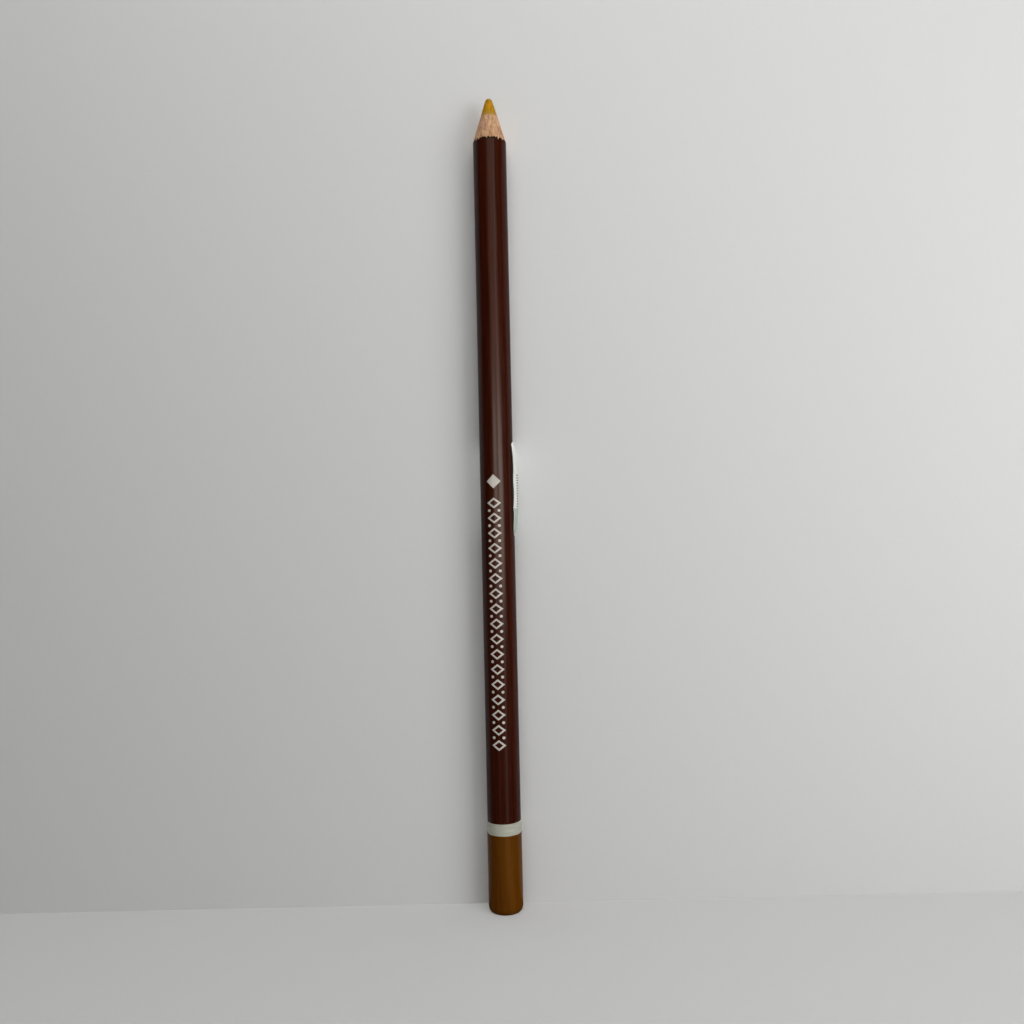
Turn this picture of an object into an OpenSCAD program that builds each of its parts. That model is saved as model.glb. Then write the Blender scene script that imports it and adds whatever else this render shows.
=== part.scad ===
// Round wood-cased pastel pencil, sharpened, with a dipped end.
// It stands on its flat butt at the origin, and its point is up, along +Z.
// The front of the pencil, with the stamped row, faces -Y.

/* [Pencil] */
// Length from the butt to the tip
pencil_length = 175; // [130:1:190]
// Diameter of the two glued slats, under the lacquer
casing_d = 7; // [6.4:0.1:8]
// Diameter of the pastel core
core_d = 3.3; // [2:0.1:4.5]

/* [Sharpened point] */
// Angle between the sharpened cone and the pencil's axis
point_angle = 17; // [12:0.5:24]
// Radius of the blunted tip
tip_r = 0.85; // [0.3:0.05:1.2]

/* [Lacquer] */
// Thickness of the brown lacquer on the casing
lacquer_t = 0.1; // [0.05:0.01:0.2]

/* [End dip] */
// Length of the dipped end, from the butt to the white band
dip_length = 16.7; // [5:0.1:25]
// Thickness of the dip over the lacquer
dip_t = 0.1; // [0.05:0.01:0.15]
// Thickness of the dip over the flat butt
dip_floor_t = 0.25; // [0.2:0.05:0.4]
// How far the rounded edge of the butt reaches in from the side
edge_in = 0.6; // [0.45:0.05:0.9]
// How far the rounded edge of the butt reaches up the side
edge_up = 1.3; // [0.6:0.05:1.5]

/* [White band] */
// Width of the white band, along the pencil
band_w = 2.5; // [0.5:0.1:6]
// Thickness of the band's paint over the lacquer
band_t = 0.04; // [0.02:0.01:0.05]

/* [Stamped row] */
// Height of the single solid lozenge above the butt
lead_mark_z = 91.6; // [90:0.1:110]
// Height of the first open lozenge of the row above the butt
row_top_z = 87; // [80:0.1:88]
// Length of the row, between its first and last lozenge
row_length = 51.2; // [10:0.1:58]
// Distance from one lozenge to the next
mark_pitch = 3.2; // [3:0.1:6]
// Length of one lozenge along the pencil
mark_l = 2.3; // [1.2:0.1:2.4]
// Width of one lozenge across the pencil
mark_w = 3; // [1.5:0.1:4]
// Width of the foil stroke that outlines a lozenge
mark_stroke = 0.36; // [0.2:0.02:0.4]
// Diameter of each dot in the pairs between the lozenges
dot_d = 0.6; // [0.3:0.05:0.8]
// Distance between the two dots of a pair
dot_gap = 2.1; // [1.2:0.1:3]
// Thickness of the stamped foil
foil_t = 0.04; // [0.02:0.01:0.1]
// Turn of the row about the axis, away from the front
row_turn = -11; // [-60:1:60]

/* [Paper label] */
// Height of the label along the pencil
label_h = 20.2; // [10:0.1:30]
// Height of the label's middle above the butt
label_z = 90; // [45:1:105]
// Thickness of the label
label_t = 0.1; // [0.08:0.01:0.2]
// Thickness of the glue between the barrel and the label
glue_t = 0.01; // [0.01:0.005:0.05]
// Angle about the axis, from +X, where the glued part of the label ends
label_glue_end = 170; // [120:1:175]
// Angle about the axis, from +X, where the label lifts off the barrel
label_lift_start = 80; // [40:1:100]
// Inner radius of the lifted flap, more than that of the barrel
flap_r = 4.6; // [4.2:0.1:6]
// Angle of the flap's free edge about the flap's own centre, from +X
flap_end = -20; // [-40:1:10]
// Radius of the label's corners
label_corner_r = 2.5; // [1:0.1:4]

/* [Hidden] */

$fn = 96;
arc_steps = 8;
label_steps = 20;

core_r = core_d / 2;
casing_r = casing_d / 2;
barrel_r = casing_r + lacquer_t;
dip_r = barrel_r + dip_t;
butt_flat_r = dip_r - edge_in;
cone_apex_z = pencil_length - tip_r + tip_r / sin(point_angle);
label_r = barrel_r + glue_t;
flap_centre = (label_r - flap_r) * [cos(label_lift_start), sin(label_lift_start)];

// Height at which the sharpened cone has radius r
function cone_z(r) = cone_apex_z - r / tan(point_angle);

// Quarter of an ellipse about (cx, cy), from straight below it round to its right
function edge_arc(cx, cy, rx, ry) =
  [for (i = [0 : arc_steps]) let (a = 90 * i / arc_steps) [cx + rx * sin(a), cy - ry * cos(a)]];

// The rounded tip, from where it leaves the cone up to the axis
function tip_arc() =
  [for (i = [0 : arc_steps]) let (a = point_angle + (90 - point_angle) * i / arc_steps)
    [i == arc_steps ? 0 : tip_r * cos(a), pencil_length - tip_r + tip_r * sin(a)]];

// The wood's rounded butt edge, parallel to the dip's own
function wood_edge() =
  edge_arc(butt_flat_r, edge_up, casing_r - butt_flat_r, edge_up - dip_floor_t);

// Half of the casing on the +Y side, with the groove that holds the core
module slat() {
  rotate_extrude(angle = 180)
    polygon(concat(
      [[core_r, dip_floor_t]],
      wood_edge(),
      [[casing_r, cone_z(casing_r)], [core_r, cone_z(core_r)]]
    ));
}

module pastel_core() {
  color([0.74, 0.55, 0.09])
    rotate_extrude()
      polygon(concat(
        [[0, dip_floor_t], [core_r, dip_floor_t], [core_r, cone_z(core_r)]],
        tip_arc()
      ));
}

module front_slat() {
  color([0.80, 0.62, 0.46]) mirror([0, 1, 0]) slat();
}

module back_slat() {
  color([0.80, 0.62, 0.46]) slat();
}

module brown_lacquer() {
  color([0.23, 0.09, 0.05])
    rotate_extrude()
      polygon([
        [casing_r, edge_up], [barrel_r, edge_up],
        [barrel_r, cone_z(barrel_r)], [casing_r, cone_z(casing_r)]
      ]);
}

// A cup of paint: outside it is the dipped end, and inside it is the end of the lacquered wood
module end_dip() {
  color([0.45, 0.28, 0.06])
    rotate_extrude()
      polygon(concat(
        [[0, 0]],
        edge_arc(butt_flat_r, edge_up, edge_in, edge_up),
        [[dip_r, dip_length], [barrel_r, dip_length], [barrel_r, edge_up]],
        [for (i = [arc_steps : -1 : 0]) wood_edge()[i]],
        [[0, dip_floor_t]]
      ));
}

// A closed ring of paint on the lacquer, between two heights
module coat_ring(z, h, t) {
  rotate_extrude()
    translate([barrel_r, z]) square([t, h]);
}

module white_band() {
  color([0.86, 0.86, 0.80]) coat_ring(dip_length, band_w, band_t);
}

module lozenge(l, w) {
  polygon([[0, -l / 2], [w / 2, 0], [0, l / 2], [-w / 2, 0]]);
}

// A lozenge with its middle open; the stroke is as wide on all four sides
module open_lozenge(l, w, stroke) {
  shrink = 1 - 2 * stroke * sqrt(l * l + w * w) / (l * w);
  difference() {
    lozenge(l, w);
    lozenge(l * shrink, w * shrink);
  }
}

// The flat pattern: x runs across the pencil and y runs up it
module row_pattern() {
  translate([0, lead_mark_z]) lozenge(mark_w, mark_w);
  for (drop = [0 : mark_pitch : row_length])
    translate([0, row_top_z - drop]) open_lozenge(mark_l, mark_w, mark_stroke);
  for (drop = [mark_pitch / 2 : mark_pitch : row_length], side = [-1, 1])
    translate([side * dot_gap / 2, row_top_z - drop]) circle(d = dot_d, $fn = 24);
}

module stamped_row() {
  color([0.85, 0.83, 0.78])
    intersection() {
      coat_ring(0, pencil_length, foil_t);
      rotate([0, 0, row_turn]) rotate([90, 0, 0])
        linear_extrude(height = barrel_r + 1) row_pattern();
    }
}

// Points of an arc about a centre, between two angles
function arc_points(centre, r, from, to) =
  [for (i = [0 : label_steps]) let (a = from + (to - from) * i / label_steps)
    centre + r * [cos(a), sin(a)]];

// One face of the label, seen from above: the glued part first, and then the flap
function label_face(out) = concat(
  arc_points([0, 0], label_r + out, label_glue_end, label_lift_start),
  arc_points(flap_centre, flap_r + out, label_lift_start, flap_end)
);

// What is cut away to round one corner; y is measured in from the label's edge
module corner_waste() {
  size = label_corner_r;
  difference() {
    translate([-1, -1]) square(size + 1);
    translate([size, size]) circle(r = size);
  }
}

// Rounds the top and bottom corners of the edge at y = edge_y, on the side that x_side names
module label_corners(edge_y, x_side) {
  for (end = [-1, 1])
    translate([0, edge_y, label_z + end * label_h / 2])
      mirror([0, 0, end > 0 ? 1 : 0])
        mirror([x_side < 0 ? 1 : 0, 0, 0])
          rotate([90, 0, 90]) linear_extrude(height = flap_r + barrel_r) corner_waste();
}

// Wraps the back of the barrel, and its free edge stands off at the right
module paper_label() {
  last = 2 * label_steps + 1;
  color([0.93, 0.93, 0.90])
    difference() {
      translate([0, 0, label_z - label_h / 2]) linear_extrude(height = label_h)
        polygon(concat(
          label_face(label_t),
          [for (i = [last : -1 : 0]) if (i != label_steps) label_face(0)[i]]
        ));
      label_corners(flap_centre[1] + flap_r * sin(flap_end), 1);
      label_corners(label_r * sin(label_glue_end), -1);
    }
}

pastel_core();
front_slat();
back_slat();
brown_lacquer();
end_dip();
white_band();
stamped_row();
paper_label();
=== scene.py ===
import math
import random

import bmesh
import bpy
from mathutils import Matrix, Vector, noise


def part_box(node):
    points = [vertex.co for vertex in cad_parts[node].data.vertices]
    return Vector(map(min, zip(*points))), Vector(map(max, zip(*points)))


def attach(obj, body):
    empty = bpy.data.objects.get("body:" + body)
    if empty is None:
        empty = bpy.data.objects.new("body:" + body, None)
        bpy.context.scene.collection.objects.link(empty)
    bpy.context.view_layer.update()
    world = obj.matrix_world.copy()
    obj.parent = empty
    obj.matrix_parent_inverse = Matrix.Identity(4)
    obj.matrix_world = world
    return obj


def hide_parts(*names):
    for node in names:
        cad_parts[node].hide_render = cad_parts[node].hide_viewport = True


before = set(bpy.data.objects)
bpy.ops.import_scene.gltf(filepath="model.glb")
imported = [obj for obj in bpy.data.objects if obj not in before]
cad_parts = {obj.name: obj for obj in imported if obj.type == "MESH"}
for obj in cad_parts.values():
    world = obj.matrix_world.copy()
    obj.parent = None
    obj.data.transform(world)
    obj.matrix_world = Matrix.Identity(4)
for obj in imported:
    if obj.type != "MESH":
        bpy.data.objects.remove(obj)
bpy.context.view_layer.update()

mm = 0.001               # sizes below are in millimetres, and Blender's are in metres
print("frame loaded:", ", ".join(sorted(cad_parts)))


def boxOf(node):
    low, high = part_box(node)
    return low / mm, high / mm


coreLow, coreHigh = boxOf("pastel_core")
woodLow, woodHigh = boxOf("back_slat")
lacquerLow, lacquerHigh = boxOf("brown_lacquer")
dipLow, dipHigh = boxOf("end_dip")
bandLow, bandHigh = boxOf("white_band")
labelLow, labelHigh = boxOf("paper_label")


def roundR(low, high):
    # the radius that fits inside the box on every side
    return min(high.x, high.y, -low.x, -low.y)


coreR = roundR(coreLow, coreHigh)
woodR = min(woodHigh.x, -woodLow.x)
barrelR = roundR(lacquerLow, lacquerHigh)
bandR = roundR(bandLow, bandHigh)
dipR = roundR(dipLow, dipHigh)
tipZ = coreHigh.z
coneSlope = (woodR - coreR) / (woodHigh.z - lacquerHigh.z)  # radius lost per mm up the point


def coneZ(radius):
    # height at which the sharpened cone has this radius
    return woodHigh.z - (radius - coreR) / coneSlope


def wobble(x, y, z, size):
    # smooth noise from -1 to 1; size is that of its lumps along x, y and z
    return noise.noise(Vector((x / size[0], y / size[1], z / size[2])))


def onRing(angle, radius):
    return radius * math.cos(angle), radius * math.sin(angle)


def turned(section, around, move, span=(0, 360)):
    # Turns (radius, height, follow) points about the pencil's axis.
    # move(angle, radius, height, follow) gives each point's own radius and height.
    whole = span[1] - span[0] == 360
    columns = around if whole else around + 1
    points, rings = [], []
    for radius, height, follow in section:
        ring = []
        for column in range(columns if radius > 0 else 1):
            angle = math.radians(span[0] + (span[1] - span[0]) * column / around)
            r, z = move(angle, radius, height, follow)
            ring.append(len(points))
            points.append((*onRing(angle, r), z))
        rings.append(ring)
    pairs = list(zip(rings, rings[1:]))
    if section[0][0] > 0:
        pairs.append((rings[-1], rings[0]))     # a section that doesn't start on the axis is a closed loop
    faces = []
    for lower, upper in pairs:
        for column in range(around):
            after = (column + 1) % columns
            corners = [lower[column % len(lower)], lower[after % len(lower)],
                       upper[after % len(upper)], upper[column % len(upper)]]
            faces.append(list(dict.fromkeys(corners)))      # a triangle where the ring is one point
    if not whole:
        faces += [[ring[0] for ring in rings], [ring[-1] for ring in rings]]
    return points, faces


def makePiece(name, points, faces, materials, node, sharpAngle=40):
    mesh = bpy.data.meshes.new(name)
    mesh.from_pydata([Vector(point) * mm for point in points], [], faces)
    shape = bmesh.new()
    shape.from_mesh(mesh)
    bmesh.ops.recalc_face_normals(shape, faces=shape.faces)
    shape.to_mesh(mesh)
    shape.free()
    mesh.shade_smooth()
    mesh.set_sharp_from_angle(angle=math.radians(sharpAngle))
    for material in materials:
        mesh.materials.append(material)
    piece = bpy.data.objects.new(name, mesh)
    bpy.context.scene.collection.objects.link(piece)
    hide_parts(node)
    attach(piece, "root")
    print("made", name, len(faces), "faces")
    return piece


def addFloats(piece, name, values):
    # one number for each point of the mesh, for its material to read
    attribute = piece.data.attributes.new(name, "FLOAT", "POINT")
    attribute.data.foreach_set("value", values)


def linear(hexColour):
    # sRGB hex to the linear colour that a shader takes
    channels = [int(hexColour[i:i + 2], 16) / 255 for i in (1, 3, 5)]
    return [c / 12.92 if c <= 0.04045 else ((c + 0.055) / 1.055) ** 2.4 for c in channels] + [1]


def dimmed(colour, share):
    # a linear colour at this share of its brightness
    return [c * share for c in colour[:3]] + [1]


def newMaterial(name):
    material = bpy.data.materials.new(name)
    material.use_nodes = True
    material.node_tree.nodes.clear()
    return material, material.node_tree


def findSocket(sockets, key):
    return next((s for s in sockets if s.identifier == key), None) or sockets[key]


def addNode(tree, kind, settings=None, links=None):
    node = tree.nodes.new("ShaderNode" + kind)
    for key, value in (settings or {}).items():
        if key == "stops":                       # a colour ramp's places and colours
            elements = node.color_ramp.elements
            while len(elements) < len(value):
                elements.new(1)
            for element, (place, colour) in zip(elements, value):
                element.position = place
                element.color = linear(colour)
        elif isinstance(key, str) and hasattr(node, key):
            setattr(node, key, value)
        else:
            findSocket(node.inputs, key).default_value = value
    for key, source in (links or {}).items():
        tree.links.new(source, findSocket(node.inputs, key))
    return node


def inSizes(tree, *size):
    # the piece's own coordinates, divided by a pattern's size along x, y and z in mm
    place = addNode(tree, "TexCoord")
    scaled = addNode(tree, "Mapping", {"Scale": [1 / (s * mm) for s in size]},
                     {"Vector": place.outputs["Object"]})
    return scaled.outputs["Vector"]


# Pressed pastel: ochre pigment and chalk held with a little gum, extruded, dried and cut by a blade.
# It is dead matt and crumbly, with orange streaks where the blade rubbed it.
pastelFinish = {
    "crumbs": 0.16,                                    # mm, coarser than real pigment so that it shows
    "streak": (0.42, 0.42, 2.6),                       # mm, smears drawn out along the blade's stroke
    "crumbShare": 0.45,                                # of the mottling; the streaks give the rest
    "colours": ("#6E5210", "#AB7E10", "#C88F12"),
    "rubbed": "#BE7706",
    "roughness": 0.9,
}


def makePastel():
    material, tree = newMaterial("ochrePastel")
    crumbSize = pastelFinish["crumbs"]
    crumbs = addNode(tree, "TexNoise", {"Scale": 1, "Detail": 4, "Roughness": 0.65},
                     {"Vector": inSizes(tree, crumbSize, crumbSize, crumbSize)})
    streaks = addNode(tree, "TexNoise", {"Scale": 1, "Detail": 2, "Roughness": 0.5},
                      {"Vector": inSizes(tree, *pastelFinish["streak"])})
    share = pastelFinish["crumbShare"]
    streaked = addNode(tree, "Math", {"operation": "MULTIPLY", 1: 1 - share}, {0: streaks.outputs["Fac"]})
    mixed = addNode(tree, "Math", {"operation": "MULTIPLY_ADD", 1: share},
                    {0: crumbs.outputs["Fac"], 2: streaked.outputs[0]})
    dark, middle, light = pastelFinish["colours"]
    colour = addNode(tree, "ValToRGB", {"stops": [(0.36, dark), (0.5, middle), (0.62, light)]},
                     {"Fac": mixed.outputs[0]})
    rubbed = addNode(tree, "MapRange", {"From Min": 0.58, "From Max": 0.7, "To Max": 0.7},
                     {"Value": streaks.outputs["Fac"]})
    stick = addNode(tree, "Mix", {"data_type": "RGBA", "B_Color": linear(pastelFinish["rubbed"])},
                    {"Factor_Float": rubbed.outputs["Result"], "A_Color": colour.outputs["Color"]})
    bump = addNode(tree, "Bump", {"Strength": 0.7, "Distance": 0.02 * mm}, {"Height": crumbs.outputs["Fac"]})
    surface = addNode(tree, "BsdfPrincipled",
                      {"Roughness": pastelFinish["roughness"], "IOR": 1.5, "Specular IOR Level": 0.1},
                      {"Base Color": findSocket(stick.outputs, "Result_Color"),
                       "Normal": bump.outputs["Normal"]})
    addNode(tree, "OutputMaterial", {}, {"Surface": surface.outputs["BSDF"]})
    return material


# Cedar slats: straight-grained softwood, cut across its fibres by the sharpener.
# It is matt and pinkish tan, with fine fibres along the pencil, pastel dust rubbed in near the core
# and a thin glue line where the slats meet.
cedarFinish = {
    "rings": (0.75, 0.75, 14),                         # mm, growth rings, drawn out along the pencil
    "fibres": (0.19, 0.19, 2.8),                       # mm, coarser than real fibres so that they show
    "fibreShare": 0.5,                                 # of the grain; the rings give the rest
    "colours": ("#8E6342", "#B78D68", "#CDA782"),
    "blush": "#BE8C7C",
    "blushSize": (1.1, 1.1, 4),                        # mm, patches of pinker wood
    "dust": "#A17A1C",
    "dustReach": 1.0,                                  # mm down from the core
    "dustAmount": 4.2,                                 # at the core, where 2 would fully cover half of it
    "glue": "#7A5A40",
    "glueLine": 0.05,                                  # mm, where the two slats meet
    "roughness": 0.75,
}


def makeCedar():
    material, tree = newMaterial("sharpenedCedar")
    rings = addNode(tree, "TexNoise", {"Scale": 1, "Detail": 2, "Roughness": 0.5, "Distortion": 0.3},
                    {"Vector": inSizes(tree, *cedarFinish["rings"])})
    fibres = addNode(tree, "TexNoise", {"Scale": 1, "Detail": 3, "Roughness": 0.6},
                     {"Vector": inSizes(tree, *cedarFinish["fibres"])})
    share = cedarFinish["fibreShare"]
    ringed = addNode(tree, "Math", {"operation": "MULTIPLY", 1: 1 - share}, {0: rings.outputs["Fac"]})
    grain = addNode(tree, "Math", {"operation": "MULTIPLY_ADD", 1: share},
                    {0: fibres.outputs["Fac"], 2: ringed.outputs[0]})
    dark, middle, light = cedarFinish["colours"]
    colour = addNode(tree, "ValToRGB", {"stops": [(0.38, dark), (0.5, middle), (0.62, light)]},
                     {"Fac": grain.outputs[0]})
    patches = addNode(tree, "TexNoise", {"Scale": 1, "Detail": 1},
                      {"Vector": inSizes(tree, *cedarFinish["blushSize"])})
    pink = addNode(tree, "MapRange", {"From Min": 0.5, "From Max": 0.75, "To Max": 0.6},
                   {"Value": patches.outputs["Fac"]})
    blushed = addNode(tree, "Mix", {"data_type": "RGBA", "B_Color": linear(cedarFinish["blush"])},
                      {"Factor_Float": pink.outputs["Result"], "A_Color": colour.outputs["Color"]})
    height = addNode(tree, "SeparateXYZ", {}, {"Vector": inSizes(tree, 1, 1, 1)})
    near = addNode(tree, "MapRange", {"From Min": woodHigh.z - cedarFinish["dustReach"],
                                      "From Max": woodHigh.z, "To Max": cedarFinish["dustAmount"]},
                   {"Value": height.outputs["Z"]})
    dusty = addNode(tree, "Math", {"operation": "MULTIPLY", "use_clamp": True},
                    {0: near.outputs["Result"], 1: fibres.outputs["Fac"]})
    rubbed = addNode(tree, "Mix", {"data_type": "RGBA", "B_Color": linear(cedarFinish["dust"])},
                     {"Factor_Float": dusty.outputs[0],
                      "A_Color": findSocket(blushed.outputs, "Result_Color")})
    fromSeam = addNode(tree, "Math", {"operation": "ABSOLUTE"}, {0: height.outputs["Y"]})
    seam = addNode(tree, "Math", {"operation": "LESS_THAN", 1: cedarFinish["glueLine"] / 2},
                   {0: fromSeam.outputs[0]})
    glued = addNode(tree, "Mix", {"data_type": "RGBA", "B_Color": linear(cedarFinish["glue"])},
                    {"Factor_Float": seam.outputs[0],
                     "A_Color": findSocket(rubbed.outputs, "Result_Color")})
    bump = addNode(tree, "Bump", {"Strength": 0.6, "Distance": 0.02 * mm}, {"Height": fibres.outputs["Fac"]})
    surface = addNode(tree, "BsdfPrincipled",
                      {"Roughness": cedarFinish["roughness"], "IOR": 1.5, "Specular IOR Level": 0.3},
                      {"Base Color": findSocket(glued.outputs, "Result_Color"),
                       "Normal": bump.outputs["Normal"]})
    addNode(tree, "OutputMaterial", {}, {"Surface": surface.outputs["BSDF"]})
    return material


# Nitrocellulose lacquer: thin brown coats pulled through a die along the wood.
# It is a soft gloss, with faint streaks along the pencil, and it is coloured darker along the edge where the
# sharpener tore it.
lacquerFinish = {
    "streak": (0.4, 0.4, 22),                          # mm, drawn out along the pencil by the die
    "fineStreak": (0.12, 0.12, 9),                     # mm, coarser than real ones so that they show
    "fineShare": 0.35,                                 # of the grain; the broad streaks give the rest
    "colours": ("#2A0800", "#330E02", "#3E1608"),
    "tornEdge": "#1B0A04",
    "tornWidth": 0.35,                                 # mm along the ragged edge that is coloured darker
    "roughness": (0.21, 0.27),
}


def makeLacquer():
    material, tree = newMaterial("brownLacquer")
    broad = addNode(tree, "TexNoise", {"Scale": 1, "Detail": 2, "Roughness": 0.5},
                    {"Vector": inSizes(tree, *lacquerFinish["streak"])})
    fine = addNode(tree, "TexNoise", {"Scale": 1, "Detail": 2, "Roughness": 0.6},
                   {"Vector": inSizes(tree, *lacquerFinish["fineStreak"])})
    share = lacquerFinish["fineShare"]
    streaked = addNode(tree, "Math", {"operation": "MULTIPLY", 1: 1 - share}, {0: broad.outputs["Fac"]})
    grain = addNode(tree, "Math", {"operation": "MULTIPLY_ADD", 1: share},
                    {0: fine.outputs["Fac"], 2: streaked.outputs[0]})
    dark, middle, light = lacquerFinish["colours"]
    colour = addNode(tree, "ValToRGB", {"stops": [(0.36, dark), (0.5, middle), (0.66, light)]},
                     {"Fac": grain.outputs[0]})
    below = addNode(tree, "Attribute", {"attribute_name": "belowEdge"})
    torn = addNode(tree, "MapRange", {"From Min": 0, "From Max": lacquerFinish["tornWidth"],
                                      "To Min": 1, "To Max": 0}, {"Value": below.outputs["Fac"]})
    coat = addNode(tree, "Mix", {"data_type": "RGBA", "B_Color": linear(lacquerFinish["tornEdge"])},
                   {"Factor_Float": torn.outputs["Result"], "A_Color": colour.outputs["Color"]})
    low, high = lacquerFinish["roughness"]
    gloss = addNode(tree, "MapRange", {"From Min": 0.35, "From Max": 0.65, "To Min": low, "To Max": high},
                    {"Value": fine.outputs["Fac"]})
    bump = addNode(tree, "Bump", {"Strength": 0.5, "Distance": 0.004 * mm}, {"Height": grain.outputs[0]})
    surface = addNode(tree, "BsdfPrincipled", {"IOR": 1.5, "Specular IOR Level": 0.25},
                      {"Base Color": findSocket(coat.outputs, "Result_Color"),
                       "Roughness": gloss.outputs["Result"], "Normal": bump.outputs["Normal"]})
    addNode(tree, "OutputMaterial", {}, {"Surface": surface.outputs["BSDF"]})
    return material


# Dipped lacquer: the end was lowered into thick ochre lacquer and hung to drain.
# It is nearly as glossy as the barrel and smoother, with only faint runs down it.
dipFinish = {
    "runs": (1.3, 1.3, 20),                            # mm, drawn out along the pencil as it drained
    "colours": ("#532B00", "#593100", "#603600"),
    "roughness": (0.2, 0.27),
}


def makeDipLacquer():
    material, tree = newMaterial("ochreDip")
    runs = addNode(tree, "TexNoise", {"Scale": 1, "Detail": 2, "Roughness": 0.5},
                   {"Vector": inSizes(tree, *dipFinish["runs"])})
    dark, middle, light = dipFinish["colours"]
    colour = addNode(tree, "ValToRGB", {"stops": [(0.34, dark), (0.5, middle), (0.68, light)]},
                     {"Fac": runs.outputs["Fac"]})
    low, high = dipFinish["roughness"]
    gloss = addNode(tree, "MapRange", {"From Min": 0.35, "From Max": 0.65, "To Min": low, "To Max": high},
                    {"Value": runs.outputs["Fac"]})
    bump = addNode(tree, "Bump", {"Strength": 0.3, "Distance": 0.01 * mm}, {"Height": runs.outputs["Fac"]})
    surface = addNode(tree, "BsdfPrincipled", {"IOR": 1.5, "Specular IOR Level": 0.17},
                      {"Base Color": colour.outputs["Color"],
                       "Roughness": gloss.outputs["Result"], "Normal": bump.outputs["Normal"]})
    addNode(tree, "OutputMaterial", {}, {"Surface": surface.outputs["BSDF"]})
    return material


# White ring: one pass of white lacquer, rolled on as the pencil turned.
# It is off-white and satin, with very faint lines round it from the roller.
ringFinish = {
    "rollerLines": (4, 4, 0.25),                       # mm, coarser than real ones so that they show
    "colours": ("#A6A798", "#AFB0A2", "#B6B7AA"),
    "roughness": 0.42,
}


def makeRingPaint():
    material, tree = newMaterial("whiteRingLacquer")
    lines = addNode(tree, "TexNoise", {"Scale": 1, "Detail": 2},
                    {"Vector": inSizes(tree, *ringFinish["rollerLines"])})
    dark, middle, light = ringFinish["colours"]
    colour = addNode(tree, "ValToRGB", {"stops": [(0.34, dark), (0.5, middle), (0.66, light)]},
                     {"Fac": lines.outputs["Fac"]})
    bump = addNode(tree, "Bump", {"Strength": 0.4, "Distance": 0.006 * mm}, {"Height": lines.outputs["Fac"]})
    surface = addNode(tree, "BsdfPrincipled",
                      {"Roughness": ringFinish["roughness"], "IOR": 1.5, "Specular IOR Level": 0.4},
                      {"Base Color": colour.outputs["Color"], "Normal": bump.outputs["Normal"]})
    addNode(tree, "OutputMaterial", {}, {"Surface": surface.outputs["BSDF"]})
    return material


# Hot-stamped pigment foil: a heated die pressed it onto the lacquer.
# It is off-white and satin, with specks of brown where it didn't take.
foilFinish = {
    "specks": 0.16,                                    # mm, coarser than real pinholes so that they show
    "colour": "#C4BEB6",
    "missed": "#7A6456",
    "roughness": 0.5,
}


def makeFoil():
    material, tree = newMaterial("stampedFoil")
    size = foilFinish["specks"]
    specks = addNode(tree, "TexNoise", {"Scale": 1, "Detail": 3, "Roughness": 0.6},
                     {"Vector": inSizes(tree, size, size, size)})
    missed = addNode(tree, "MapRange", {"From Min": 0.64, "From Max": 0.72},
                     {"Value": specks.outputs["Fac"]})
    colour = addNode(tree, "Mix", {"data_type": "RGBA", "A_Color": linear(foilFinish["colour"]),
                                   "B_Color": linear(foilFinish["missed"])},
                     {"Factor_Float": missed.outputs["Result"]})
    bump = addNode(tree, "Bump", {"Strength": 0.3, "Distance": 0.006 * mm},
                   {"Height": specks.outputs["Fac"]})
    surface = addNode(tree, "BsdfPrincipled", {"Roughness": foilFinish["roughness"], "IOR": 1.5},
                      {"Base Color": findSocket(colour.outputs, "Result_Color"),
                       "Normal": bump.outputs["Normal"]})
    addNode(tree, "OutputMaterial", {}, {"Surface": surface.outputs["BSDF"]})
    return material


# Label stock: coated white paper, printed with plain grey rules on its outer face.
# It is slightly satin, and its gummed back is a little warmer than its printed face.
labelFinish = {
    "fibres": 0.3,                                     # mm, coarser than real fibres so that they show
    "fibreShade": 0.9,                                 # brightness of the darkest fibres, as a share
    "face": "#E0E0DC",
    "rule": "#3E4440",
    "foot": "#ABB4AA",                                 # a darker, greyer field along the label's foot
    "footHeight": 5.9,                                 # mm
    "back": "#ECEBE4",
    "pitch": 0.56,                                     # mm from rule to rule, up the label
    "ruleWidth": 0.24,
    "ruledWidth": (0.7, 12.5),                         # mm in from the free edge
    "ruledHeight": (6.2, 13.4),                        # mm up from the label's lower edge
    "roughness": 0.55,
}


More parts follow.
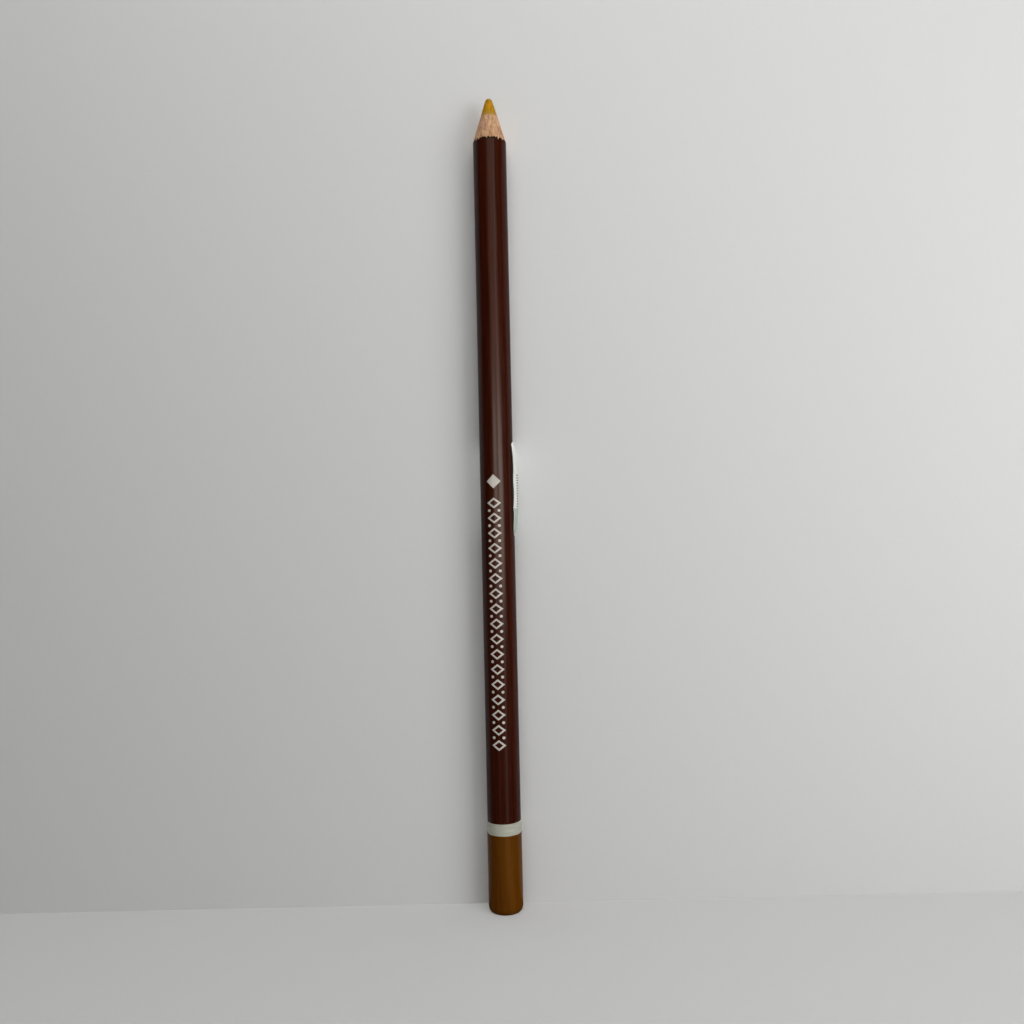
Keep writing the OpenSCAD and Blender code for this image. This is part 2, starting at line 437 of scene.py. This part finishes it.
def makeLabelPaper(printed):
    material, tree = newMaterial("labelPaper" if printed else "gummedBack")
    size = labelFinish["fibres"]
    fibres = addNode(tree, "TexNoise", {"Scale": 1, "Detail": 3},
                     {"Vector": inSizes(tree, size, size, size)})
    bump = addNode(tree, "Bump", {"Strength": 0.3, "Distance": 0.01 * mm}, {"Height": fibres.outputs["Fac"]})
    surface = addNode(tree, "BsdfPrincipled",
                      {"Roughness": labelFinish["roughness"], "IOR": 1.5, "Specular IOR Level": 0.3},
                      {"Normal": bump.outputs["Normal"]})
    tone = linear(labelFinish["face" if printed else "back"])
    paper = addNode(tree, "Mix", {"data_type": "RGBA", "A_Color": tone,
                                  "B_Color": dimmed(tone, labelFinish["fibreShade"])},
                    {"Factor_Float": fibres.outputs["Fac"]})
    shown = findSocket(paper.outputs, "Result_Color")
    if printed:
        across = addNode(tree, "Attribute", {"attribute_name": "fromEdge"})
        up = addNode(tree, "Attribute", {"attribute_name": "upLabel"})
        inked = []
        for value, low, high in ((across, *labelFinish["ruledWidth"]), (up, *labelFinish["ruledHeight"])):
            for operation, limit in (("GREATER_THAN", low), ("LESS_THAN", high)):
                inked.append(addNode(tree, "Math", {"operation": operation, 1: limit},
                                     {0: value.outputs["Fac"]}))
        pitch = labelFinish["pitch"]
        counted = addNode(tree, "Math", {"operation": "DIVIDE", 1: pitch}, {0: up.outputs["Fac"]})
        part = addNode(tree, "Math", {"operation": "FRACT"}, {0: counted.outputs[0]})
        ink = addNode(tree, "Math", {"operation": "LESS_THAN", 1: labelFinish["ruleWidth"] / pitch},
                      {0: part.outputs[0]})
        for limit in inked:
            ink = addNode(tree, "Math", {"operation": "MULTIPLY"}, {0: ink.outputs[0], 1: limit.outputs[0]})
        ruled = addNode(tree, "Mix", {"data_type": "RGBA", "B_Color": linear(labelFinish["rule"])},
                        {"Factor_Float": ink.outputs[0], "A_Color": shown})
        low = addNode(tree, "Math", {"operation": "LESS_THAN", 1: labelFinish["footHeight"]},
                      {0: up.outputs["Fac"]})
        footed = addNode(tree, "Mix", {"data_type": "RGBA", "B_Color": linear(labelFinish["foot"])},
                         {"Factor_Float": low.outputs[0],
                          "A_Color": findSocket(ruled.outputs, "Result_Color")})
        shown = findSocket(footed.outputs, "Result_Color")
    tree.links.new(shown, surface.inputs["Base Color"])
    addNode(tree, "OutputMaterial", {}, {"Surface": surface.outputs["BSDF"]})
    return material


# The sharpened point: flats that the blade left run through the pastel and fade out down the wood.
point = {
    "flats": 9,
    "flatShare": 0.2,                                  # 1 would be a true polygon
    "stray": 0.28,                                     # share of a flat that its edges stray, at most
    "fadeTo": 3.5,                                     # mm below the core, where the flats are gone
    "fullFrom": 1,                                     # mm up the core, where they are deepest
    "seed": 4,
}
random.seed(point["seed"])
flatEdges = []
for flat in range(point["flats"]):
    place = flat + random.uniform(-point["stray"], point["stray"])
    flatEdges.append(2 * math.pi * place / point["flats"])


def flatDepth(angle, z, radius):
    # how far the blade's flat lies inside the round cone at this angle
    edges = flatEdges + [flatEdges[0] + 2 * math.pi]
    turn = (angle - edges[0]) % (2 * math.pi) + edges[0]
    start, end = next(pair for pair in zip(edges, edges[1:]) if pair[0] <= turn <= pair[1])
    flat = math.cos((end - start) / 2) / math.cos(turn - (start + end) / 2)
    fade = min(1, max(0, (z - woodHigh.z + point["fadeTo"]) / (point["fadeTo"] + point["fullFrom"])))
    return radius * (1 - flat) * point["flatShare"] * fade


# Pastel core: a round stick, sharpened with the wood, and blunt at the tip.
pastelCore = {
    "around": 168,                                     # points in a row, once round
    "rowStep": 0.05,                                   # mm from row to row up the cone
    "lastRow": 1,                                      # mm below the cone, the last row of the plain side
    "tipR": 0.85,
    "tipBends": 18,
    "crumb": (0.13, 0.13, 0.16),                       # mm
    "crumbDepth": 0.014,
    "lump": (0.5, 0.5, 0.7),
    "lumpDepth": 0.015,
    "fadeRows": 4,                                     # rows of points over which crumbs and lumps set in
}


def makeCore():
    tipR = pastelCore["tipR"]
    lean = math.atan(coneSlope)
    roundZ = tipZ - tipR + tipR * math.sin(lean)       # where the cone gives way to the rounded tip
    section = [(0, coreLow.z, 0), (coreR, coreLow.z, 0), (coreR, woodHigh.z - pastelCore["lastRow"], 0)]
    rows = round((roundZ - woodHigh.z) / pastelCore["rowStep"])
    for row in range(rows):
        z = woodHigh.z + (roundZ - woodHigh.z) * row / rows
        section.append((coreR - (z - woodHigh.z) * coneSlope, z, min(1, row / pastelCore["fadeRows"])))
    bends = pastelCore["tipBends"]
    for bend in range(bends):
        angle = lean + (math.pi / 2 - lean) * bend / bends
        section.append((tipR * math.cos(angle), tipZ - tipR + tipR * math.sin(angle), 1))
    section.append((0, tipZ, 0))

    def move(angle, r, z, follow):
        x, y = onRing(angle, r)
        crumbs = pastelCore["crumbDepth"] * (1 + wobble(x, y, z, pastelCore["crumb"])) / 2
        lumps = pastelCore["lumpDepth"] * (1 + wobble(x, y, z, pastelCore["lump"])) / 2
        blade = flatDepth(angle, z, r) if z >= woodHigh.z else 0
        return r - (crumbs + lumps) * follow - blade, z

    points, faces = turned(section, pastelCore["around"], move)
    makePiece("pastelCore", points, faces, [makePastel()], "pastel_core", 60)


makeCore()


# Butt: the wood's edge is rounded, and the dip's follows it.
butt = {
    "edgeIn": 0.72,                                    # mm that the rounding reaches in from the dip's side
    "edgeUp": 1.42,                                    # mm that it reaches up from the dip's foot
}
buttFlatR = dipR - butt["edgeIn"]


def buttEdge(sideR, footZ, bends):
    # section points of a rounded edge, from the flat butt round to the side
    up = butt["edgeUp"]
    edge = []
    for bend in range(bends + 1):
        angle = math.pi / 2 * bend / bends
        radius = buttFlatR + (sideR - buttFlatR) * math.sin(angle)
        edge.append((radius, up - (up - footZ) * math.cos(angle), 0))
    return edge


# Slats: two half rounds of cedar glued round the core, cut to a cone at the top.
slats = {
    "around": 200,
    "rowStep": 0.055,
    "edgeBends": 8,
    "fibre": (0.13, 0.13, 2.4),                        # mm
    "fibreDepth": 0.03,
    "ring": (0.55, 0.55, 11),
    "ringDepth": 0.04,
    "fadeRows": 6,                                     # rows of points over which the grain sets in and ends
    "bareBelow": 1.4,                                  # mm of fine rows below the cone, for chipped lacquer
}


def makeSlats():
    section = [(coreR, woodLow.z, 0)] + buttEdge(woodR, woodLow.z, slats["edgeBends"])
    bare = lacquerHigh.z - slats["bareBelow"]
    rows = round((woodHigh.z - bare) / slats["rowStep"])
    for row in range(rows + 1):
        z = bare + (woodHigh.z - bare) * row / rows
        r = min(woodR, coreR + (woodHigh.z - z) * coneSlope)
        section.append((r, z, min(1, row / slats["fadeRows"], (rows - row) / slats["fadeRows"])))
    section.append((coreR, bare, 0))

    def move(angle, r, z, follow):
        x, y = onRing(angle, r)
        fibres = slats["fibreDepth"] * (1 + wobble(x, y, z, slats["fibre"])) / 2
        rings = slats["ringDepth"] * (1 + wobble(x, y, z, slats["ring"])) / 2
        blade = flatDepth(angle, z, r) if z > lacquerHigh.z else 0
        return r - (fibres + rings) * follow - blade, z

    cedar = makeCedar()
    for name, node, start in (("backSlat", "back_slat", 0), ("frontSlat", "front_slat", 180)):
        points, faces = turned(section, slats["around"], move, (start, start + 180))
        makePiece(name, points, faces, [cedar], node, 60)


makeSlats()


# Lacquer coat: a thin tube on the wood, torn into small teeth where the sharpener met it.
lacquerCoat = {
    "around": 400,
    "rowStep": 3,                                      # mm from row to row down the plain barrel
    "nearRows": (0.03, 0.08, 0.15, 0.25, 0.4, 0.6, 0.9, 1.3, 1.9),     # mm below the torn edge
    "rimSlant": 0.02,                                  # mm that the torn rim slants in
    "teeth": 34,
    "peak": (0, 0.1),                                  # mm below the clean cut
    "peakAt": (0.05, 0.4),                             # share of a tooth's width
    "gap": (0.25, 0.75),
    "gapAt": (0.5, 0.95),
    "seed": 11,
}
random.seed(lacquerCoat["seed"])
tornKnots = []
for tooth in range(lacquerCoat["teeth"]):
    for place, depth in (("peakAt", "peak"), ("gapAt", "gap")):
        turn = tooth + random.uniform(*lacquerCoat[place])
        tornKnots.append((turn, random.uniform(*lacquerCoat[depth])))
tornKnots.append((tornKnots[0][0] + lacquerCoat["teeth"], tornKnots[0][1]))


def tornDepth(angle):
    # how far the torn edge lies below the clean cut at this angle
    turn = angle / (2 * math.pi) * lacquerCoat["teeth"]
    if turn < tornKnots[0][0]:
        turn += lacquerCoat["teeth"]
    before, after = next(pair for pair in zip(tornKnots, tornKnots[1:]) if turn <= pair[1][0])
    share = (turn - before[0]) / (after[0] - before[0])
    return before[1] + (after[1] - before[1]) * share


def makeLacquerCoat():
    outerTop = coneZ(barrelR)
    reach = max(lacquerCoat["nearRows"])
    low = max(lacquerLow.z, butt["edgeUp"])            # where the wood's side starts to be straight
    section = [(woodR, low, 0), (barrelR, low, 0)]
    count = round((outerTop - reach - low) / lacquerCoat["rowStep"])
    for row in range(1, count):
        section.append((barrelR, low + (outerTop - reach - low) * row / count, 0))
    for below in sorted(lacquerCoat["nearRows"], reverse=True):
        section.append((barrelR, outerTop - below, 1 - below / reach))
    section.append((barrelR - lacquerCoat["rimSlant"], outerTop, 1))
    section.append((woodR, lacquerHigh.z, 1))

    def move(angle, r, z, follow):
        return r, z - tornDepth(angle) * follow

    points, faces = turned(section, lacquerCoat["around"], move)
    piece = makePiece("lacquerCoat", points, faces, [makeLacquer()], "brown_lacquer", 50)
    below = []
    for _, height, follow in section:
        below += [max(0, outerTop - height) if follow else reach] * lacquerCoat["around"]
    addFloats(piece, "belowEdge", below)


makeLacquerCoat()


# Dipped end: its paint line isn't quite square to the pencil.
dippedEnd = {
    "around": 200,
    "rows": 30,
    "edgeBends": 14,
    "lipRound": 0.05,
    "lipBends": 4,
    "lineTilt": (0.03, 0.07),                          # mm up at +X, under and over the white ring
    "lineWave": 0.03,
    "waveSize": (0.6, 0.6, 1),                         # on a circle of radius 1, so about ten waves round it
    "lineShare": 0.25,                                 # top share of the dip that leans with its paint line
    "sag": 0.02,
    "sagSize": (2.5, 2.5, 6),                          # mm
}


def paintLine(angle, over):
    x, y = onRing(angle, 1)
    under, above = dippedEnd["lineTilt"]
    wave = dippedEnd["lineWave"] * wobble(x, y, over, dippedEnd["waveSize"])
    return (under + (above - under) * over) * x + wave


def makeDippedEnd():
    up, lip, bends = butt["edgeUp"], dippedEnd["lipRound"], dippedEnd["edgeBends"]
    section = [(0, dipLow.z, 0), (buttFlatR / 2, dipLow.z, 0)] + buttEdge(dipR, dipLow.z, bends)
    for row in range(1, dippedEnd["rows"]):
        share = row / dippedEnd["rows"]
        follow = max(0, 1 - (1 - share) / dippedEnd["lineShare"])
        section.append((dipR, up + (dipHigh.z - lip - up) * share, follow))
    for bend in range(dippedEnd["lipBends"] + 1):
        angle = math.pi / 2 * bend / dippedEnd["lipBends"]
        section.append((dipR - lip + lip * math.cos(angle), dipHigh.z - lip + lip * math.sin(angle), 1))
    section += [(barrelR, dipHigh.z, 1), (barrelR, up, 0)]
    section += reversed(buttEdge(woodR, woodLow.z, bends))          # the inside follows the wood's edge
    section.append((0, woodLow.z, 0))

    def move(angle, r, z, follow):
        x, y = onRing(angle, r)
        sag = dippedEnd["sag"] * (1 + wobble(x, y, z, dippedEnd["sagSize"])) / 2
        return r - (sag if r > barrelR and z > up else 0), z + paintLine(angle, 0) * follow

    points, faces = turned(section, dippedEnd["around"], move)
    makePiece("dippedEnd", points, faces, [makeDipLacquer()], "end_dip")


# White ring: it was rolled on where the dip ends, so it leans with the dip's paint line.
whiteRing = {
    "lip": 0.02,                                       # mm, its slanting lips
    "rows": 12,
}


def makeRing():
    lip, rows = whiteRing["lip"], whiteRing["rows"]
    low, high = bandLow.z, bandHigh.z
    section = [(barrelR, low, 1), (bandR - lip, low, 1), (bandR, low + lip, 1)]
    section += [(bandR, low + (high - low) * row / rows, 1) for row in range(1, rows)]
    section += [(bandR, high - lip, 1), (bandR - lip, high, 1), (barrelR, high, 1)]

    def move(angle, r, z, follow):
        return r, z + paintLine(angle, (z - low) / (high - low))

    points, faces = turned(section, dippedEnd["around"], move)
    makePiece("whiteRing", points, faces, [makeRingPaint()], "white_band")


makeDippedEnd()
makeRing()


# Stamped row: the CAD plates stay, and take the foil's finish.
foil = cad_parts["stamped_row"]
foil.data.materials.clear()
foil.data.materials.append(makeFoil())
print("stamped row finished")


# Paper label: glued round the back of the barrel, with a free edge that stands off and curls back in.
wrappedLabel = {
    "glue": 0.01,                                      # mm between the lacquer and the paper
    "thick": 0.095,
    "glueEnd": 170,                                    # degrees about the axis, from +X
    "liftStart": 80,
    "flapR": 4.6,
    "flapEnd": -20,
    "cornerR": 2.5,
    "columns": 150,
    "rows": 120,
    "curl": 0.62,                                      # mm that the free edge turns in, towards the barrel
    "curlPower": 12,                                   # how late along the flap the curl sets in
    "ripple": 0.05,                                    # mm more or less of curl, as a wave up the label
    "rippleTurn": 1.15,                                # radians of that wave in a mm
    "rippleStart": 0.6,
    "topHeld": 4.1,                                    # mm from each end over which the flap lies nearer
    "footHeld": 6.0,
    "heldTop": 1.3,                                    # mm nearer, at the very end
    "heldFoot": 1.0,
    "topPower": 1.5,                                   # how steeply it comes nearer towards the end
    "footPower": 1.2,
    "heldPower": 1.5,                                  # how late along the flap it comes nearer
    "pinch": 0.1,                                      # mm nearer, where the held foot starts
    "pinchWide": 0.5,
}


def labelPath(share):
    # a point of the label's inner face, its normal, and lengths: to here, in all, and of the glued part
    label = wrappedLabel
    inner = barrelR + label["glue"]
    gluedLength = inner * math.radians(label["glueEnd"] - label["liftStart"])
    flapLength = label["flapR"] * math.radians(label["liftStart"] - label["flapEnd"])
    along = share * (gluedLength + flapLength)
    if along <= gluedLength:
        angle = math.radians(label["glueEnd"]) - along / inner
        place = Vector(onRing(angle, inner))
    else:
        lift = math.radians(label["liftStart"])
        angle = lift - (along - gluedLength) / label["flapR"]
        centre = Vector(onRing(lift, inner - label["flapR"]))
        place = centre + Vector(onRing(angle, label["flapR"]))
    return place, Vector(onRing(angle, 1)), along, gluedLength + flapLength, gluedLength


def inset(distance):
    # how far a rounded corner cuts in, at this distance from the side it rounds
    corner = wrappedLabel["cornerR"]
    return corner - math.sqrt(corner ** 2 - (corner - distance) ** 2) if distance < corner else 0


def curlIn(up, height, lifted):
    # how much nearer to the barrel the flap lies, at this height up the label
    label = wrappedLabel
    top = max(0, 1 - (height - up) / label["topHeld"])
    foot = max(0, 1 - up / label["footHeld"])
    pinch = label["pinch"] * math.exp(-((up - label["footHeld"]) / label["pinchWide"]) ** 2)
    ripple = label["ripple"] * math.sin(up * label["rippleTurn"] + label["rippleStart"])
    rolled = (label["curl"] + ripple) * (1 - max(top, foot)) * lifted ** label["curlPower"]
    held = max(label["heldTop"] * top ** label["topPower"], label["heldFoot"] * foot ** label["footPower"])
    return rolled + (held + pinch) * lifted ** label["heldPower"]


def makeLabel():
    label = wrappedLabel
    height = labelHigh.z - labelLow.z
    rows, columns = label["rows"] + 1, label["columns"] + 1
    points, fromEdge, upLabel = [], [], []
    for side in (label["thick"], 0):
        for column in range(columns):
            place, normal, along, length, glued = labelPath(column / label["columns"])
            cut = inset(min(along, length - along))
            for row in range(rows):
                up = cut + (height - 2 * cut) * row / label["rows"]
                reach = length - glued - inset(min(up, height - up))
                nearer = curlIn(up, height, min(1, max(0, (along - glued) / reach)))
                spot = place + normal * (side - nearer)
                touching = barrelR + label["glue"] + side
                if spot.length < touching:             # the barrel is in the way
                    spot = spot.normalized() * touching
                points.append((spot.x, spot.y, labelLow.z + up))
                fromEdge.append(length - along)
                upLabel.append(up)
    half = rows * columns
    faces = []
    for layer in (0, half):
        for column in range(columns - 1):
            for row in range(rows - 1):
                first = layer + column * rows + row
                faces.append([first, first + 1, first + rows + 1, first + rows])
    rim = list(range(rows))
    rim += [column * rows + rows - 1 for column in range(1, columns)]
    rim += [(columns - 1) * rows + row for row in range(rows - 2, -1, -1)]
    rim += [column * rows for column in range(columns - 2, 0, -1)]
    for here, there in zip(rim, rim[1:] + rim[:1]):
        faces.append([here, there, there + half, here + half])
    piece = makePiece("wrappedLabel", points, faces, [makeLabelPaper(True), makeLabelPaper(False)],
                      "paper_label")
    for face in piece.data.polygons:
        face.material_index = 0 if max(face.vertices) < half else 1
    addFloats(piece, "fromEdge", fromEdge)
    addFloats(piece, "upLabel", upLabel)


makeLabel()


# Stage: white drawing paper on the floor and right behind the pencil.
# It was pressed between felts while wet, so it is dead matt, with a faint tooth.
stage = {
    "paper": "#D3D3D2",
    "floor": "#B8B8B7",
    "grain": 1.2,                                      # mm, coarser than the paper's tooth so that it shows
    "grainShade": 0.98,                                # brightness of its low spots, as a share
    "mirrored": 0.5,                                   # the paper's share of brightness in the gloss
    "reach": 1500,                                     # mm
    "behind": 0.05,                                    # mm between the pencil and the paper behind it
    "sky": "#D2D3D1",
    "fade": (190, 520),                                # mm from the pencil, where the floor turns to sky
    "behindPart": 0.68,                                # how far it has turned to sky behind the wall
    "room": 0.05,                                      # light from all round, on the pencil and the paper
    "roomMirrored": 0.02,                              # the same, as the gloss shows it
}
wallY = max(labelHigh.y, dipHigh.y) + stage["behind"]


def makeStagePaper(name, colour, isWall):
    material, tree = newMaterial(name)
    size = stage["grain"]
    tooth = addNode(tree, "TexNoise", {"Scale": 1, "Detail": 3}, {"Vector": inSizes(tree, size, size, size)})
    tone = linear(colour)
    paper = addNode(tree, "Mix", {"data_type": "RGBA", "A_Color": tone,
                                  "B_Color": dimmed(tone, stage["grainShade"])},
                    {"Factor_Float": tooth.outputs["Fac"]})
    ray = addNode(tree, "LightPath")
    seen = addNode(tree, "Mix", {"data_type": "RGBA", "B_Color": dimmed(tone, stage["mirrored"])},
                   {"Factor_Float": ray.outputs["Is Glossy Ray"],
                    "A_Color": findSocket(paper.outputs, "Result_Color")})
    surface = addNode(tree, "BsdfDiffuse", {}, {"Color": findSocket(seen.outputs, "Result_Color")})
    if isWall:                                         # from behind, the paper isn't in the way
        amount = addNode(tree, "NewGeometry").outputs["Backfacing"]
        other = addNode(tree, "BsdfTransparent").outputs["BSDF"]
    else:                                              # far off it turns to sky, and partly behind the wall
        place = inSizes(tree, 1, 1, 1)
        axes = addNode(tree, "SeparateXYZ", {}, {"Vector": place})
        far = addNode(tree, "VectorMath", {"operation": "LENGTH"}, {"Vector": place})
        start, end = stage["fade"]
        faded = addNode(tree, "MapRange",
                        {"interpolation_type": "SMOOTHSTEP", "From Min": start, "From Max": end},
                        {"Value": far.outputs["Value"]})
        behind = addNode(tree, "Math", {"operation": "GREATER_THAN", 1: wallY}, {0: axes.outputs["Y"]})
        part = addNode(tree, "Math", {"operation": "MULTIPLY", 1: stage["behindPart"]},
                       {0: behind.outputs[0]})
        amount = addNode(tree, "Math", {"operation": "MAXIMUM"},
                         {0: part.outputs[0], 1: faded.outputs["Result"]}).outputs[0]
        other = addNode(tree, "Emission", {"Color": linear(stage["sky"]), "Strength": 1}).outputs["Emission"]
    used = addNode(tree, "Math", {"operation": "MULTIPLY"}, {0: amount, 1: ray.outputs["Is Camera Ray"]})
    mixed = addNode(tree, "MixShader", {}, {0: used.outputs[0], 1: surface.outputs["BSDF"], 2: other})
    addNode(tree, "OutputMaterial", {}, {"Surface": mixed.outputs[0]})
    return material


def makeSheet(name, corners, material):
    mesh = bpy.data.meshes.new(name)
    mesh.from_pydata([Vector(corner) * mm for corner in corners], [], [(0, 1, 2, 3)])
    mesh.materials.append(material)
    sheet = bpy.data.objects.new(name, mesh)
    bpy.context.scene.collection.objects.link(sheet)
    return sheet


reach = stage["reach"]
floor = makeSheet("paperFloor",
                  [(-reach, -reach, 0), (reach, -reach, 0), (reach, reach, 0), (-reach, reach, 0)],
                  makeStagePaper("floorPaper", stage["floor"], False))
floor.visible_glossy = False                           # the lacquer mirrors a dim room, and not the floor
makeSheet("paperWall",
          [(-reach, wallY, 0), (reach, wallY, 0), (reach, wallY, reach), (-reach, wallY, reach)],
          makeStagePaper("wallPaper", stage["paper"], True))

world = bpy.data.worlds.new("studio")
bpy.context.scene.world = world
world.use_nodes = True
world.node_tree.nodes.clear()
white = linear("#FFFFFF")
room = addNode(world.node_tree, "Background", {"Color": white, "Strength": stage["room"]})
dark = addNode(world.node_tree, "Background", {"Color": white, "Strength": stage["roomMirrored"]})
seen = addNode(world.node_tree, "Background", {"Color": linear(stage["sky"]), "Strength": 1})
ray = addNode(world.node_tree, "LightPath")
mirrored = addNode(world.node_tree, "MixShader", {},
                   {0: ray.outputs["Is Glossy Ray"], 1: room.outputs[0], 2: dark.outputs[0]})
sky = addNode(world.node_tree, "MixShader", {},
              {0: ray.outputs["Is Camera Ray"], 1: mirrored.outputs[0], 2: seen.outputs[0]})
addNode(world.node_tree, "OutputWorld", {}, {"Surface": sky.outputs[0]})
print("stage and world made")


# Lamps: a key softbox to the right and a large one above light the front, and two more the back.
# The strips and the room's glow show in the gloss alone. turn is in degrees from the front towards +X,
# and rise is above the horizon; far, wide and tall are in mm. level is 1 for light that shows a colour
# as written, and glow is how bright a lamp looks in the gloss.
middle = Vector((0, 0, (tipZ + dipLow.z) / 2))
lampColour = {"level": "#FFFFFF", "glow": "#FFF4E4"}
softboxes = {
    "keyBox": {"turn": 46, "rise": 6, "far": 300, "wide": 190, "tall": 190, "level": 0.5},
    "topBox": {"turn": 3, "rise": 54, "far": 400, "wide": 300, "tall": 300, "level": 0.62},
    "rightStrip": {"turn": 28, "rise": 2, "far": 420, "wide": 215, "tall": 115, "glow": 1.9},
    "tallStrip": {"turn": 24, "rise": 2, "far": 420, "wide": 60, "tall": 520, "glow": 0.4},
    "leftStrip": {"turn": -7, "rise": 2, "far": 420, "wide": 190, "tall": 115, "glow": 1.5},
    "roomGlow": {"turn": 6, "rise": 26, "far": 900, "wide": 760, "tall": 800, "glow": 0.28},
    "backStrip": {"turn": 180, "rise": 4, "far": 420, "wide": 60, "tall": 520, "glow": 2.6},
    "backBox": {"turn": 155, "rise": 24, "far": 900, "wide": 500, "tall": 500, "level": 0.5},
    "backFill": {"turn": -150, "rise": 18, "far": 900, "wide": 500, "tall": 500, "level": 0.25},
}


def aim(thing, place, target, roll=0):
    look = (Vector(target) - Vector(place)).to_track_quat("-Z", "Y").to_matrix().to_4x4()
    lean = Matrix.Rotation(math.radians(roll), 4, "Z")
    thing.matrix_world = Matrix.Translation(Vector(place) * mm) @ look @ lean


for name, box in softboxes.items():
    inGloss = "glow" in box
    lamp = bpy.data.lights.new(name, "AREA")
    lamp.color = linear(lampColour["glow" if inGloss else "level"])[:3]
    lamp.shape = "RECTANGLE"
    lamp.size, lamp.size_y = box["wide"] * mm, box["tall"] * mm
    if inGloss:
        lamp.energy = box["glow"] * math.pi ** 2 * lamp.size * lamp.size_y
    else:
        lamp.energy = box["level"] * (math.pi * box["far"] * mm) ** 2
    lamp.use_shadow = abs(box["turn"]) < 90            # the lamps behind shine past the paper
    lamp.cycles.use_multiple_importance_sampling = lamp.use_shadow      # or the paper stops their gloss
    lampObject = bpy.data.objects.new(name, lamp)
    bpy.context.scene.collection.objects.link(lampObject)
    turn, rise = math.radians(box["turn"]), math.radians(box["rise"])
    way = Vector((math.sin(turn) * math.cos(rise), -math.cos(turn) * math.cos(rise), math.sin(rise)))
    aim(lampObject, middle + way * box["far"], middle)
    lampObject.visible_glossy = inGloss
    lampObject.visible_diffuse = not inGloss
print("lamps made")


# Camera: nearly level with the pencil's middle, a hand's length away.
view = {
    "place": (3.12, -200, 81.3),                       # mm
    "pitch": 1.078,                                    # degrees up
    "roll": -1.27,                                     # degrees
    "lens": 32.6,                                      # mm
    "nearest": 10,                                     # mm, anything nearer isn't drawn
}
cameraData = bpy.data.cameras.new("camera")
cameraData.lens = view["lens"]
cameraData.clip_start = view["nearest"] * mm
camera = bpy.data.objects.new("camera", cameraData)
bpy.context.scene.collection.objects.link(camera)
pitch = math.radians(view["pitch"])
ahead = Vector((0, math.cos(pitch), math.sin(pitch)))
aim(camera, view["place"], Vector(view["place"]) + ahead, view["roll"])
bpy.context.scene.camera = camera
bpy.context.scene.view_settings.view_transform = "Standard"
print("camera placed")
